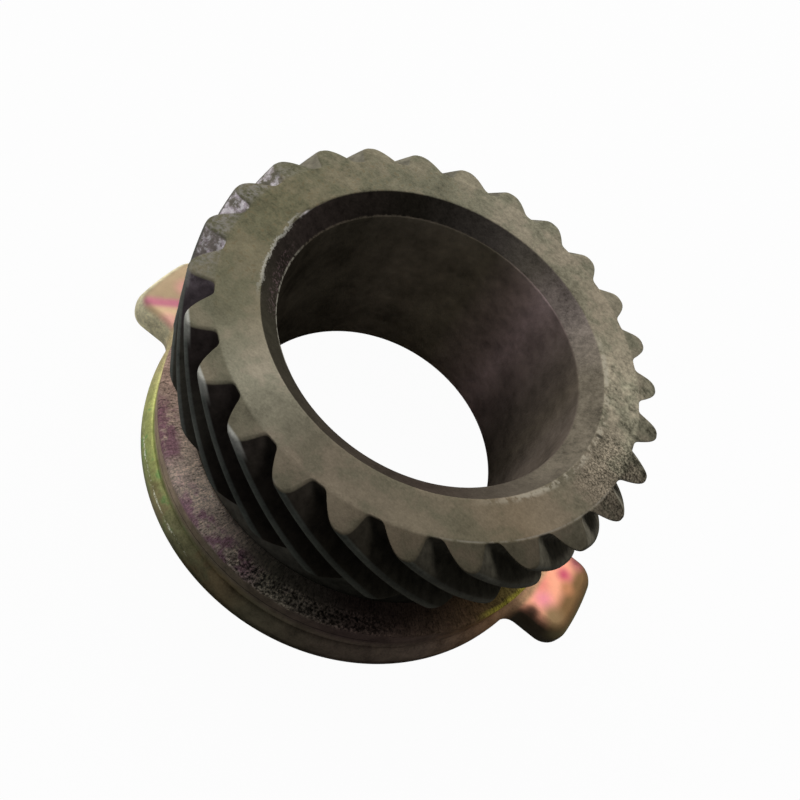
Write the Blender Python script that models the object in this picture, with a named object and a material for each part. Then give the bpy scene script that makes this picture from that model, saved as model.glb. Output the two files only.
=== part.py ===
"""A speedometer drive gear: a left-hand helical toothed ring on a sleeve, and a pressed flange with two
drive lugs fixed round that sleeve. Sizes are in millimetres, and heights run up from the underside."""
import math

import bmesh
import bpy

MILLIMETRE = 0.001
FULL_TURN = 2.0 * math.pi

# Whole part
OVERALL_HEIGHT = 24.2
FIT_GAP = 0.3

# Bore and sleeve of the gear
BORE_RADIUS = 15.0
BORE_CHAMFER_WIDTH = 1.9
BORE_CHAMFER_DEPTH = 1.75
SLEEVE_WALL = 2.2
SLEEVE_LENGTH = 22.1
SLEEVE_FOOT_CHAMFER = 0.3

# Teeth
TOOTH_COUNT = 26
ROOT_RISE = 0.7
TOOTH_DEPTH = 2.38
TEETH_LENGTH = 9.1
HELIX_TURN_PER_MM = math.radians(3.297)
FIRST_TOOTH = math.radians(1.4)
FACE_BEVEL_DROP = 0.38
FOOT_BEVEL_DROP = 1.8
TIP_END_CHAMFER = 0.2
TEETH_LEVELS = 5

# One side of a tooth, from the root to the crest: share of the tooth depth, and half width in tooth pitches
TOOTH_SIDE = (
    (0.00, 0.425),
    (0.07, 0.360),
    (0.22, 0.312),
    (0.50, 0.250),
    (0.72, 0.195),
    (0.90, 0.135),
    (1.00, 0.050),
)

# Neck between the teeth and the flange
NECK_RISE = 2.8
NECK_FILLET = 0.5
NECK_FOOT_FROM_FACE = 16.95

# Flange
PLATE_THICKNESS = 3.2
DRUM_WALL = 3.25
DRUM_EDGE_ROUND = 0.45
LIP_WIDTH = 0.95
LIP_THICKNESS = 3.3
LIP_EDGE_ROUND = 0.9
LUG_EDGE_ROUND = 1.5
EDGE_ROUND_DOWN = 2.0
FOOT_ROUND = 0.7
RECESS_GAP = 2.6
RECESS_EDGE = 0.4

# Lugs
LUG_REACH = 30.0
LUG_WIDTH = 10.6
LUG_CORNER = 2.5
LUG_ROOT_FILLET = 1.8

# Smoothness
PLAIN_ARC_STEPS = 32
LUG_ARC_STEPS = 6
CORNER_STEPS = 4
ROUND_STEPS = 4
SHARP_ANGLE = math.radians(32.0)

# Sizes that follow from the ones above
FACE_HEIGHT = OVERALL_HEIGHT
SLEEVE_RADIUS = BORE_RADIUS + SLEEVE_WALL
NECK_RADIUS = SLEEVE_RADIUS + NECK_RISE
ROOT_RADIUS = NECK_RADIUS + ROOT_RISE
PITCH_ANGLE = FULL_TURN / TOOTH_COUNT
ROOT_HALF = TOOTH_SIDE[0][1]
ROOT_ARC = (-ROOT_HALF, -ROOT_HALF / 3.0, ROOT_HALF / 3.0, ROOT_HALF)
TEETH_FOOT_DEPTH = TEETH_LENGTH + FOOT_BEVEL_DROP
SHOULDER_HEIGHT = FACE_HEIGHT - NECK_FOOT_FROM_FACE
PLATE_TOP = SHOULDER_HEIGHT - FIT_GAP
PLATE_UNDERSIDE = PLATE_TOP - PLATE_THICKNESS
FLANGE_HOLE_RADIUS = SLEEVE_RADIUS + FIT_GAP
RECESS_RADIUS = SLEEVE_RADIUS + RECESS_GAP
DRUM_RADIUS = RECESS_RADIUS + DRUM_WALL
LIP_RADIUS = DRUM_RADIUS + LIP_WIDTH


def clear_scene():
    for item in list(bpy.data.objects):
        bpy.data.objects.remove(item, do_unlink=True)


def metal(name, colour, roughness):
    material = bpy.data.materials.new(name)
    material.use_nodes = True
    shader = material.node_tree.nodes["Principled BSDF"]
    shader.inputs["Base Color"].default_value = colour
    shader.inputs["Metallic"].default_value = 1.0
    shader.inputs["Roughness"].default_value = roughness
    return material


def polar(radius, angle, height):
    return (
        radius * math.cos(angle) * MILLIMETRE,
        radius * math.sin(angle) * MILLIMETRE,
        height * MILLIMETRE,
    )


def add_ring(mesh, points):
    return [mesh.verts.new(point) for point in points]


def bridge(mesh, first, second):
    """Joins two closed rings of the same count with quads."""
    count = len(first)
    for i in range(count):
        j = (i + 1) % count
        mesh.faces.new((first[i], first[j], second[j], second[i]))


def finish(mesh, name, material):
    bmesh.ops.recalc_face_normals(mesh, faces=mesh.faces)
    data = bpy.data.meshes.new(name)
    mesh.to_mesh(data)
    mesh.free()
    data.shade_smooth()
    data.set_sharp_from_angle(angle=SHARP_ANGLE)
    data.materials.append(material)
    piece = bpy.data.objects.new(name, data)
    bpy.context.scene.collection.objects.link(piece)
    return piece


def tooth_outline():
    """One tooth from its left root to its right root, as share of depth and offset in pitches."""
    left = [(share, -half) for share, half in TOOTH_SIDE]
    right = [(share, half) for share, half in reversed(TOOTH_SIDE)]
    return left + right


def toothed_ring(mesh, along, chamfer):
    """The outline of all teeth at a share of their length. Both ends slope away towards the tips."""
    points = []
    for tooth in range(TOOTH_COUNT):
        for share, offset in tooth_outline():
            top = FACE_BEVEL_DROP * share + (TIP_END_CHAMFER - chamfer) * share**2
            foot = TEETH_FOOT_DEPTH - FOOT_BEVEL_DROP * share
            depth = top + (foot - top) * along
            radius = ROOT_RADIUS + TOOTH_DEPTH * share - chamfer * share**2
            angle = FIRST_TOOTH + (tooth + offset) * PITCH_ANGLE + HELIX_TURN_PER_MM * depth
            points.append(polar(radius, angle, FACE_HEIGHT - depth))
    return add_ring(mesh, points)


def circle(mesh, radius, height, turn):
    """A circle whose points stand in line with the roots and the root arcs of the teeth."""
    points = []
    for tooth in range(TOOTH_COUNT):
        for offset in ROOT_ARC:
            points.append(polar(radius, FIRST_TOOTH + turn + (tooth + offset) * PITCH_ANGLE, height))
    return add_ring(mesh, points)


def root_circle(mesh, teeth, height, turn):
    """The root circle at one end of the teeth, made of the tooth roots and new points between them."""
    per_tooth = 2 * len(TOOTH_SIDE)
    ring = []
    for tooth in range(TOOTH_COUNT):
        first = teeth[tooth * per_tooth]
        last = teeth[(tooth + 1) * per_tooth - 1]
        between = []
        for offset in ROOT_ARC[1:-1]:
            angle = FIRST_TOOTH + turn + (tooth + offset) * PITCH_ANGLE
            between.append(mesh.verts.new(polar(ROOT_RADIUS, angle, height)))
        mesh.faces.new(teeth[tooth * per_tooth : (tooth + 1) * per_tooth] + between[::-1])
        ring += [first] + between + [last]
    return ring


def helical_gear():
    mesh = bmesh.new()
    levels = [toothed_ring(mesh, 0.0, TIP_END_CHAMFER)]
    levels += [toothed_ring(mesh, step / TEETH_LEVELS, 0.0) for step in range(TEETH_LEVELS + 1)]
    for upper, lower in zip(levels, levels[1:]):
        bridge(mesh, upper, lower)
    foot_turn = HELIX_TURN_PER_MM * TEETH_FOOT_DEPTH
    teeth_foot = FACE_HEIGHT - TEETH_FOOT_DEPTH
    face_edge = root_circle(mesh, levels[0], FACE_HEIGHT, 0.0)
    foot_edge = root_circle(mesh, levels[-1], teeth_foot, foot_turn)

    # The section from the face down the bore, round the sleeve foot and up the neck
    section = (
        (BORE_RADIUS + BORE_CHAMFER_WIDTH, FACE_HEIGHT),
        (BORE_RADIUS, FACE_HEIGHT - BORE_CHAMFER_DEPTH),
        (BORE_RADIUS, FACE_HEIGHT - SLEEVE_LENGTH),
        (SLEEVE_RADIUS - SLEEVE_FOOT_CHAMFER, FACE_HEIGHT - SLEEVE_LENGTH),
        (SLEEVE_RADIUS, FACE_HEIGHT - SLEEVE_LENGTH + SLEEVE_FOOT_CHAMFER),
        (SLEEVE_RADIUS, SHOULDER_HEIGHT),
        (NECK_RADIUS, SHOULDER_HEIGHT),
        (NECK_RADIUS, teeth_foot - NECK_FILLET),
        (NECK_RADIUS + 0.3 * NECK_FILLET, teeth_foot - 0.3 * NECK_FILLET),
    )
    previous = face_edge
    for index, (radius, height) in enumerate(section):
        turn = foot_turn * index / len(section)
        ring = circle(mesh, radius, height, turn)
        bridge(mesh, previous, ring)
        previous = ring
    bridge(mesh, previous, foot_edge)
    return finish(mesh, "helical_gear", metal("gear_steel", (0.22, 0.21, 0.15, 1.0), 0.5))


def arc(centre, radius, start, end, steps, outward):
    """Points of an arc with their outward normals. The last point is left to whatever follows."""
    samples = []
    for step in range(steps):
        angle = start + (end - start) * step / steps
        direction = (math.cos(angle), math.sin(angle))
        point = (centre[0] + radius * direction[0], centre[1] + radius * direction[1])
        samples.append((point, (outward * direction[0], outward * direction[1])))
    return samples


def half_outline():
    """The flange seen from above, from the lower side of one lug round to the lower side of the other."""
    half = 0.5 * LUG_WIDTH
    fillet_side = half + LUG_ROOT_FILLET
    fillet_from_axis = LIP_RADIUS + LUG_ROOT_FILLET
    fillet_along = math.sqrt(fillet_from_axis**2 - fillet_side**2)
    fillet_angle = math.atan2(fillet_side, fillet_along)
    corner_side = half - LUG_CORNER
    corner_along = math.sqrt((LUG_REACH - LUG_CORNER) ** 2 - corner_side**2)
    corner_angle = math.atan2(corner_side, corner_along)
    quarter = 0.5 * math.pi
    lower_corner = arc((corner_along, -corner_side), LUG_CORNER, -quarter, -corner_angle, CORNER_STEPS, 1)
    tip = arc((0.0, 0.0), LUG_REACH, -corner_angle, corner_angle, LUG_ARC_STEPS, 1)
    upper_corner = arc((corner_along, corner_side), LUG_CORNER, corner_angle, quarter, CORNER_STEPS, 1)
    side_end = [((corner_along, half), (0.0, 1.0))]
    upper_fillet = arc(
        (fillet_along, fillet_side), LUG_ROOT_FILLET, -quarter, fillet_angle - math.pi, CORNER_STEPS, -1
    )
    rim = arc((0.0, 0.0), LIP_RADIUS, fillet_angle, math.pi - fillet_angle, PLAIN_ARC_STEPS, 1)
    lower_fillet = arc(
        (-fillet_along, fillet_side), LUG_ROOT_FILLET, -fillet_angle, -quarter, CORNER_STEPS, -1
    )
    side_start = [((-fillet_along, half), (0.0, 1.0))]
    return lower_corner + tip + upper_corner + side_end + upper_fillet + rim + lower_fillet + side_start


def flange_outline():
    one_half = half_outline()
    turned = [((-x, -y), (-nx, -ny)) for (x, y), (nx, ny) in one_half]
    return one_half + turned


def edge_round_at(x, y):
    """How far the top edge is rounded inwards: little on the lip, more on the lugs."""
    on_lug = min(1.0, max(0.0, (math.hypot(x, y) - LIP_RADIUS) / LUG_ROOT_FILLET))
    return LIP_EDGE_ROUND + (LUG_EDGE_ROUND - LIP_EDGE_ROUND) * on_lug


def inset_points(outline, share):
    """The outline, moved inwards by a share of its own edge rounding."""
    points = []
    for (x, y), (nx, ny) in outline:
        inset = share * edge_round_at(x, y)
        points.append((x - inset * nx, y - inset * ny))
    return points


def inset_ring(mesh, outline, share, height):
    points = inset_points(outline, share)
    return add_ring(mesh, [(x * MILLIMETRE, y * MILLIMETRE, height * MILLIMETRE) for x, y in points])


def outline_circle(mesh, outline, radius, height):
    """A circle whose points are in line with the inner edge of the rounding, so the flat has no fold."""
    points = inset_points(outline, 1.0)
    return add_ring(mesh, [polar(radius, math.atan2(y, x), height) for x, y in points])


def lugged_flange():
    mesh = bmesh.new()
    outline = flange_outline()
    rings = [outline_circle(mesh, outline, FLANGE_HOLE_RADIUS, PLATE_TOP)]
    for step in range(ROUND_STEPS + 1):
        angle = 0.5 * math.pi * step / ROUND_STEPS
        radius = DRUM_RADIUS - DRUM_EDGE_ROUND * (1.0 - math.sin(angle))
        height = PLATE_TOP - DRUM_EDGE_ROUND * (1.0 - math.cos(angle))
        rings.append(outline_circle(mesh, outline, radius, height))
    rings.append(outline_circle(mesh, outline, DRUM_RADIUS, LIP_THICKNESS))
    for step in range(ROUND_STEPS + 1):
        angle = 0.5 * math.pi * step / ROUND_STEPS
        height = LIP_THICKNESS - EDGE_ROUND_DOWN * (1.0 - math.cos(angle))
        rings.append(inset_ring(mesh, outline, 1.0 - math.sin(angle), height))
    for step in range(ROUND_STEPS - 1):
        angle = 0.5 * math.pi * step / (ROUND_STEPS - 2)
        share = FOOT_ROUND / LIP_EDGE_ROUND * (1.0 - math.cos(angle))
        rings.append(inset_ring(mesh, outline, share, FOOT_ROUND * (1.0 - math.sin(angle))))
    rings.append(outline_circle(mesh, outline, RECESS_RADIUS + RECESS_EDGE, 0.0))
    rings.append(outline_circle(mesh, outline, RECESS_RADIUS, RECESS_EDGE))
    rings.append(outline_circle(mesh, outline, RECESS_RADIUS, PLATE_UNDERSIDE - RECESS_EDGE))
    rings.append(outline_circle(mesh, outline, RECESS_RADIUS - RECESS_EDGE, PLATE_UNDERSIDE))
    rings.append(outline_circle(mesh, outline, FLANGE_HOLE_RADIUS, PLATE_UNDERSIDE))
    for index, ring in enumerate(rings):
        bridge(mesh, ring, rings[(index + 1) % len(rings)])
    return finish(mesh, "lugged_flange", metal("plated_steel", (0.42, 0.36, 0.20, 1.0), 0.35))


clear_scene()
helical_gear()
lugged_flange()
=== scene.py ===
"""The look of a speedometer drive gear: a dark olive helical gear on a sleeve, and a plated flange with two
drive lugs. Lengths are in millimetres until a mesh is made."""
import math

import bpy
import numpy as np
from mathutils import Matrix, Vector, noise


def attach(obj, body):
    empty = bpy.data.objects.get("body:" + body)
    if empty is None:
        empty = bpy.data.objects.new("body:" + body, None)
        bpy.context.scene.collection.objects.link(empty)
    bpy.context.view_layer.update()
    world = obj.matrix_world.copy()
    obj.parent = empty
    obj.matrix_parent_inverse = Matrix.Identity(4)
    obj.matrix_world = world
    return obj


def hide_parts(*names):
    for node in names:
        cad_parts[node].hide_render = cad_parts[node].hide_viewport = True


MILLIMETRE = 0.001
FULL_TURN = 2.0 * math.pi

# The gear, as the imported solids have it
FACE_HEIGHT = 24.2
BORE_RADIUS = 15.0
CHAMFER_RADIUS = 16.9
CHAMFER_DEPTH = 1.75
SLEEVE_RADIUS = 17.2
SLEEVE_LENGTH = 22.1
TOOTH_COUNT = 26
ROOT_RADIUS = 20.7
TOOTH_DEPTH = 2.38
TIP_RADIUS = ROOT_RADIUS + TOOTH_DEPTH
TEETH_FOOT_DEPTH = 10.9
HELIX_TURN = math.radians(3.297)
FIRST_TOOTH = math.radians(1.4)
PITCH = FULL_TURN / TOOTH_COUNT
FACE_BEVEL_DROP = 0.38
FOOT_BEVEL_DROP = 1.8
NECK_RADIUS = 20.0
SHOULDER_HEIGHT = 7.25

# The flange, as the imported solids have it
PLATE_TOP = 6.95
PLATE_UNDERSIDE = 3.75
HOLE_RADIUS = 17.5
DRUM_RADIUS = 23.05
DRUM_ROUND = 0.45
LIP_RADIUS = 24.0
LIP_HEIGHT = 3.3
LIP_ROUND = 0.9
LUG_ROUND = 1.5
ROUND_DOWN = 2.0
FOOT_ROUND = 0.7
RECESS_RADIUS = 19.8
LUG_REACH = 30.0
LUG_WIDTH = 10.6
LUG_CORNER = 2.5
LUG_FILLET = 1.8

# The camera, read from the photo: angles of the view, distance, and the picture place of the face's centre
VIEW_AZIMUTH = math.radians(4.76)
VIEW_ELEVATION = 0.8056
VIEW_ROLL = 0.6006
VIEW_DISTANCE = 76.94
FOCAL_PIXELS = 839.91
FACE_CENTRE_PIXEL = (443.08, 329.32)
PICTURE_SIZE = 800
SENSOR = 36.0


# Meshes


class Skin:
    """The points and faces of one piece while it is being made."""

    def __init__(self):
        self.points = []
        self.faces = []

    def row(self, points):
        start = len(self.points)
        self.points.extend(points)
        return list(range(start, len(self.points)))

    def strip(self, first, second, closed=False):
        count = len(first)
        for i in range(count if closed else count - 1):
            j = (i + 1) % count
            self.faces.append((first[i], first[j], second[j], second[i]))

    def piece(self, name, finish):
        data = bpy.data.meshes.new(name)
        points = [tuple(MILLIMETRE * c for c in point) for point in self.points]
        data.from_pydata(points, [], self.faces)
        data.validate()
        piece = bpy.data.objects.new(name, data)
        bpy.context.scene.collection.objects.link(piece)
        bpy.context.view_layer.objects.active = piece
        piece.select_set(True)
        bpy.ops.object.mode_set(mode="EDIT")
        bpy.ops.mesh.select_all(action="SELECT")
        bpy.ops.mesh.normals_make_consistent(inside=False)
        bpy.ops.object.mode_set(mode="OBJECT")
        piece.select_set(False)
        data.shade_smooth()
        data.materials.append(finish.owner)
        return piece


def polar(radius, angle, height):
    return (radius * math.cos(angle), radius * math.sin(angle), height)


def curve(start, middle, end, steps):
    """Points of a quadratic curve, without its last."""
    samples = []
    for step in range(steps):
        t = step / steps
        samples.append(
            tuple(
                (1 - t) ** 2 * a + 2 * t * (1 - t) * b + t**2 * c
                for a, b, c in zip(start, middle, end)
            )
        )
    return samples


# The gear

SIDE_FOOT = ((0.0, 0.432), (0.0, 0.353), (0.22, 0.312))
SIDE_TIP = ((0.68, 0.206), (0.97, 0.13), (1.0, 0.042))
SIDE_STEPS = 4
FLANK_STEPS = 5
CREST_STEPS = 6
GAP_STEPS = 4
LEVELS = 26
ROOT_EDGE_ROUND = 0.12
TIP_EDGE_ROUND = 0.26
EDGE_STEPS = 5
FACE_RINGS = (19.9, 19.2, 18.5, 17.9, 17.4)
# The chamfer's torn upper edge: radius beyond the chamfer's, and depth
CHAMFER_TOP = ((0.12, 0.0), (0.04, 0.015), (-0.05, 0.05), (-0.14, 0.13))
CHAMFER_SHARES = (0.25, 0.5, 0.75, 0.93)
BORE_TOP = CHAMFER_DEPTH + 0.1
BORE_ROWS = 10
SLEEVE_EDGE = 0.3
NECK_EDGE = 0.12
NECK_ROWS = 6
# The round from the neck to the teeth's foot: radius beyond the neck's, and depth below the teeth
NECK_FILLET = ((0.0, 0.45), (0.05, 0.25), (0.16, 0.1), (0.3, 0.02))
# Direction and width in degrees, and depth
CHIPS = ((176.0, 9.0, 0.28), (150.0, 3.0, 0.12), (196.0, 4.0, 0.12))


def tooth_side():
    """One side of a tooth from root to crest: share of the depth, and half width in pitches."""
    flank_start, flank_end = SIDE_FOOT[2], SIDE_TIP[0]
    middle = (0.5 * (flank_start[0] + flank_end[0]), 0.5 * (flank_start[1] + flank_end[1]) + 0.004)
    foot = curve(*SIDE_FOOT, SIDE_STEPS)
    flank = curve(flank_start, middle, flank_end, FLANK_STEPS)
    tip = curve(*SIDE_TIP, SIDE_STEPS)
    return foot + flank + tip + [SIDE_TIP[2]]


def share_of(radius):
    return np.clip((radius - ROOT_RADIUS) / TOOTH_DEPTH, 0.0, 1.0)


def edge_round(radius):
    """The rounding of the tooth ends' edges: fine at the root, fuller at the tip."""
    return ROOT_EDGE_ROUND + (TIP_EDGE_ROUND - ROOT_EDGE_ROUND) * share_of(radius) ** 2


class ToothedOutline:
    """The closed outline of all teeth in the plane of the face, and how its points are counted."""

    def __init__(self):
        side = tooth_side()
        self.rows = len(side)
        left = [(share, -half) for share, half in side]
        crest_half = side[-1][1]
        crest = [(1.0, crest_half * (2.0 * i / CREST_STEPS - 1.0)) for i in range(1, CREST_STEPS)]
        right = [(share, half) for share, half in reversed(side)]
        gap_half = 0.5 - side[0][1]
        gap = [(0.0, 0.5 + gap_half * (2.0 * i / GAP_STEPS - 1.0)) for i in range(1, GAP_STEPS)]
        one = left + crest + right + gap
        self.per_tooth = len(one)
        points = []
        for tooth in range(TOOTH_COUNT):
            for share, offset in one:
                angle = FIRST_TOOTH + (tooth + offset) * PITCH
                radius = ROOT_RADIUS + TOOTH_DEPTH * share
                points.append((radius * math.cos(angle), radius * math.sin(angle)))
        self.points = np.array(points)
        along = np.roll(self.points, -1, axis=0) - np.roll(self.points, 1, axis=0)
        along /= np.linalg.norm(along, axis=1)[:, None]
        self.outward = np.stack([along[:, 1], -along[:, 0]], axis=1)

    def ring(self, skin, inset, depth_of):
        """Adds the outline, inset by a share of its edge round, at a depth that each point's radius gives."""
        radius = np.linalg.norm(self.points, axis=1)
        plan = self.points - (inset * edge_round(radius))[:, None] * self.outward
        return skin.row(twisted(plan, depth_of(radius)))


def twisted(plan, depth):
    """Points of the face's plane carried down along the helix to their depths."""
    radius = np.linalg.norm(plan, axis=1)
    angle = np.arctan2(plan[:, 1], plan[:, 0]) + HELIX_TURN * depth
    return list(zip(radius * np.cos(angle), radius * np.sin(angle), FACE_HEIGHT - depth))


def base_offsets(outline_half):
    """Offsets in pitches of the base circle's points: across the tooth, then across the gap."""
    across = [outline_half * (2.0 * i / CREST_STEPS - 1.0) for i in range(CREST_STEPS + 1)]
    gap_half = 0.5 - outline_half
    gap = [0.5 + gap_half * (2.0 * i / GAP_STEPS - 1.0) for i in range(1, GAP_STEPS)]
    return across + gap


def base_circle(skin, radius, depth, turn, wander=None):
    points = []
    for tooth in range(TOOTH_COUNT):
        for offset in base_offsets(SIDE_FOOT[0][1]):
            angle = FIRST_TOOTH + (tooth + offset) * PITCH
            own = radius + (wander(angle + turn) if wander else 0.0)
            points.append(polar(own, angle + turn, FACE_HEIGHT - depth))
    return skin.row(points)


def tooth_ends(skin, outline, edge, base):
    """Fills the end of each tooth between its edge ring and the base circle inside the roots."""
    per_base = CREST_STEPS + GAP_STEPS
    rows = outline.rows
    right_start = rows + CREST_STEPS - 1
    for tooth in range(TOOTH_COUNT):
        first = tooth * outline.per_tooth
        base_first = tooth * per_base
        below = base[base_first : base_first + CREST_STEPS + 1]
        for level in range(rows):
            left = edge[first + level]
            right = edge[first + right_start + rows - 1 - level]
            if level == rows - 1:
                middle = edge[first + rows : first + rows + CREST_STEPS - 1]
            else:
                a, b = np.array(skin.points[left]), np.array(skin.points[right])
                middle = skin.row([tuple(a + (b - a) * i / CREST_STEPS) for i in range(1, CREST_STEPS)])
            row = [left] + middle + [right]
            skin.strip(below, row)
            below = row
        following = ((tooth + 1) % TOOTH_COUNT) * outline.per_tooth
        gap_edge = edge[first + right_start + rows - 1 : first + outline.per_tooth] + [edge[following]]
        gap_base = base[base_first + CREST_STEPS : base_first + per_base]
        gap_base = gap_base + [base[((tooth + 1) % TOOTH_COUNT) * per_base]]
        skin.strip(gap_base, gap_edge)


def burr(angle):
    """How far the inner edge of the face wanders from its circle, with chips at three directions."""
    around = Vector((9.0 * math.cos(angle), 9.0 * math.sin(angle), 0.3))
    fine = 0.05 * noise.noise(around * 3.0) + 0.03 * noise.noise(around * 9.0)
    chips = 0.0
    for place, width, depth in CHIPS:
        off = (math.degrees(angle) - place + 180.0) % 360.0 - 180.0
        chips += depth * math.exp(-((off / width) ** 2)) * (0.6 + 0.9 * noise.noise(around * 6.0))
    return fine + chips


def face_depth(radius):
    return FACE_BEVEL_DROP * share_of(radius)


def foot_depth(radius):
    return TEETH_FOOT_DEPTH - FOOT_BEVEL_DROP * share_of(radius)


def teeth(skin, outline):
    """The teeth from their rounded upper edge down to their rounded lower edge. Gives those two edges."""
    rounds = [0.5 * math.pi * step / EDGE_STEPS for step in range(EDGE_STEPS + 1)]
    rings = []
    for turn in rounds:
        inset, drop = 1.0 - math.sin(turn), 1.0 - math.cos(turn)
        rings.append(outline.ring(skin, inset, lambda radius: face_depth(radius) + drop * edge_round(radius)))
    for level in range(1, LEVELS):
        share = level / LEVELS

        def between(radius):
            start = face_depth(radius) + edge_round(radius)
            return start + (foot_depth(radius) - edge_round(radius) - start) * share

        rings.append(outline.ring(skin, 0.0, between))
    for turn in reversed(rounds):
        inset, drop = 1.0 - math.sin(turn), 1.0 - math.cos(turn)
        rings.append(outline.ring(skin, inset, lambda radius: foot_depth(radius) - drop * edge_round(radius)))
    for upper, lower in zip(rings, rings[1:]):
        skin.strip(upper, lower, closed=True)
    return rings[0], rings[-1]


def turned_profile():
    """Down the chamfer and the bore, round the sleeve's end and up to the teeth: radius, depth and wander."""
    slope = CHAMFER_DEPTH / (CHAMFER_RADIUS - BORE_RADIUS)
    profile = [(CHAMFER_RADIUS + along, down, burr) for along, down in CHAMFER_TOP]
    for share in CHAMFER_SHARES:
        radius = CHAMFER_RADIUS - (CHAMFER_RADIUS - BORE_RADIUS) * share
        profile.append((radius, slope * (CHAMFER_RADIUS - radius), None))
    profile.append((BORE_RADIUS + 0.03, CHAMFER_DEPTH - 0.01, None))
    for row in range(BORE_ROWS + 1):
        depth = BORE_TOP + (SLEEVE_LENGTH - SLEEVE_EDGE - BORE_TOP) * row / BORE_ROWS
        profile.append((BORE_RADIUS, depth, None))
    shoulder = FACE_HEIGHT - SHOULDER_HEIGHT
    profile += [
        (BORE_RADIUS + 0.1, SLEEVE_LENGTH - 0.08, None),
        (BORE_RADIUS + SLEEVE_EDGE, SLEEVE_LENGTH, None),
        (SLEEVE_RADIUS - SLEEVE_EDGE, SLEEVE_LENGTH, None),
        (SLEEVE_RADIUS - 0.08, SLEEVE_LENGTH - 0.08, None),
        (SLEEVE_RADIUS, SLEEVE_LENGTH - SLEEVE_EDGE, None),
        (SLEEVE_RADIUS, shoulder, None),
        (NECK_RADIUS - NECK_EDGE, shoulder, None),
    ]
    neck_foot = shoulder - NECK_EDGE
    neck_top = TEETH_FOOT_DEPTH + NECK_FILLET[0][1]
    for row in range(NECK_ROWS + 1):
        profile.append((NECK_RADIUS, neck_foot + (neck_top - neck_foot) * row / NECK_ROWS, None))
    for along, below in NECK_FILLET[1:]:
        profile.append((NECK_RADIUS + along, TEETH_FOOT_DEPTH + below, None))
    return profile


def gear_skin():
    skin = Skin()
    outline = ToothedOutline()
    upper_edge, lower_edge = teeth(skin, outline)
    inside = ROOT_RADIUS - 2.0 * ROOT_EDGE_ROUND
    face_edge = base_circle(skin, inside, 0.0, 0.0)
    tooth_ends(skin, outline, upper_edge, face_edge)
    turned = HELIX_TURN * TEETH_FOOT_DEPTH
    foot_edge = base_circle(skin, inside, TEETH_FOOT_DEPTH, turned)
    tooth_ends(skin, outline, lower_edge, foot_edge)

    previous = face_edge
    for radius in FACE_RINGS:
        ring = base_circle(skin, radius, 0.0, 0.0)
        skin.strip(previous, ring, closed=True)
        previous = ring
    profile = turned_profile()
    straight = 12  # rings before the points begin to turn with the helix, to meet the teeth's foot
    for index, (radius, depth, wander) in enumerate(profile):
        turn = turned * max(0, index - straight) / (len(profile) - 1 - straight)
        ring = base_circle(skin, radius, depth, turn, wander)
        skin.strip(previous, ring, closed=True)
        previous = ring
    skin.strip(previous, foot_edge, closed=True)
    return skin


# The flange

RIM_STEPS = 190
LUG_TIP_STEPS = 30
SIDE_ROWS = 16
CORNER_STEPS = 10
ROUND_STEPS = 8
PLATE_ROWS = 26
WALL_ROWS = 8
SHELF_ROWS = 8
PITTING = 0.035
WALL_FOOT = LIP_HEIGHT + 0.12
GROOVE = 0.02
INNER_PROFILE = (
    (RECESS_RADIUS + 0.5, 0.0),
    (RECESS_RADIUS + 0.15, 0.1),
    (RECESS_RADIUS, 0.5),
    (RECESS_RADIUS, PLATE_UNDERSIDE - 0.5),
    (RECESS_RADIUS - 0.15, PLATE_UNDERSIDE - 0.15),
    (RECESS_RADIUS - 0.5, PLATE_UNDERSIDE),
    (HOLE_RADIUS, PLATE_UNDERSIDE),
    (HOLE_RADIUS, PLATE_TOP - 0.2),
)


def arc(centre, radius, start, end, steps, outward):
    samples = []
    for step in range(steps):
        angle = start + (end - start) * step / steps
        direction = (math.cos(angle), math.sin(angle))
        point = (centre[0] + radius * direction[0], centre[1] + radius * direction[1])
        samples.append((point, (outward * direction[0], outward * direction[1])))
    return samples


def line(start, end, normal, steps):
    samples = []
    for step in range(steps):
        t = step / steps
        samples.append(((start[0] + (end[0] - start[0]) * t, start[1] + (end[1] - start[1]) * t), normal))
    return samples


def flange_outline():
    """The flange from above, with the outward direction at each point."""
    half = 0.5 * LUG_WIDTH
    fillet_side = half + LUG_FILLET
    fillet_along = math.sqrt((LIP_RADIUS + LUG_FILLET) ** 2 - fillet_side**2)
    fillet_angle = math.atan2(fillet_side, fillet_along)
    corner_side = half - LUG_CORNER
    corner_along = math.sqrt((LUG_REACH - LUG_CORNER) ** 2 - corner_side**2)
    corner_angle = math.atan2(corner_side, corner_along)
    quarter = 0.5 * math.pi
    up, corner, fillet = (0.0, 1.0), corner_along, fillet_along
    one_half = (
        arc((corner, -corner_side), LUG_CORNER, -quarter, -corner_angle, CORNER_STEPS, 1)
        + arc((0.0, 0.0), LUG_REACH, -corner_angle, corner_angle, LUG_TIP_STEPS, 1)
        + arc((corner, corner_side), LUG_CORNER, corner_angle, quarter, CORNER_STEPS, 1)
        + line((corner, half), (fillet, half), up, SIDE_ROWS)
        + arc((fillet, fillet_side), LUG_FILLET, -quarter, fillet_angle - math.pi, CORNER_STEPS, -1)
        + arc((0.0, 0.0), LIP_RADIUS, fillet_angle, math.pi - fillet_angle, RIM_STEPS, 1)
        + arc((-fillet, fillet_side), LUG_FILLET, -fillet_angle, -quarter, CORNER_STEPS, -1)
        + line((-fillet, half), (-corner, half), up, SIDE_ROWS)
    )
    return one_half + [((-x, -y), (-nx, -ny)) for (x, y), (nx, ny) in one_half]


def pitted(point):
    """The height of the rough, pitted plating of the plate at a point."""
    place = Vector(point)
    return PITTING * (noise.noise(place * 1.6) + 0.7 * noise.noise(place * 3.7))


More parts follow.
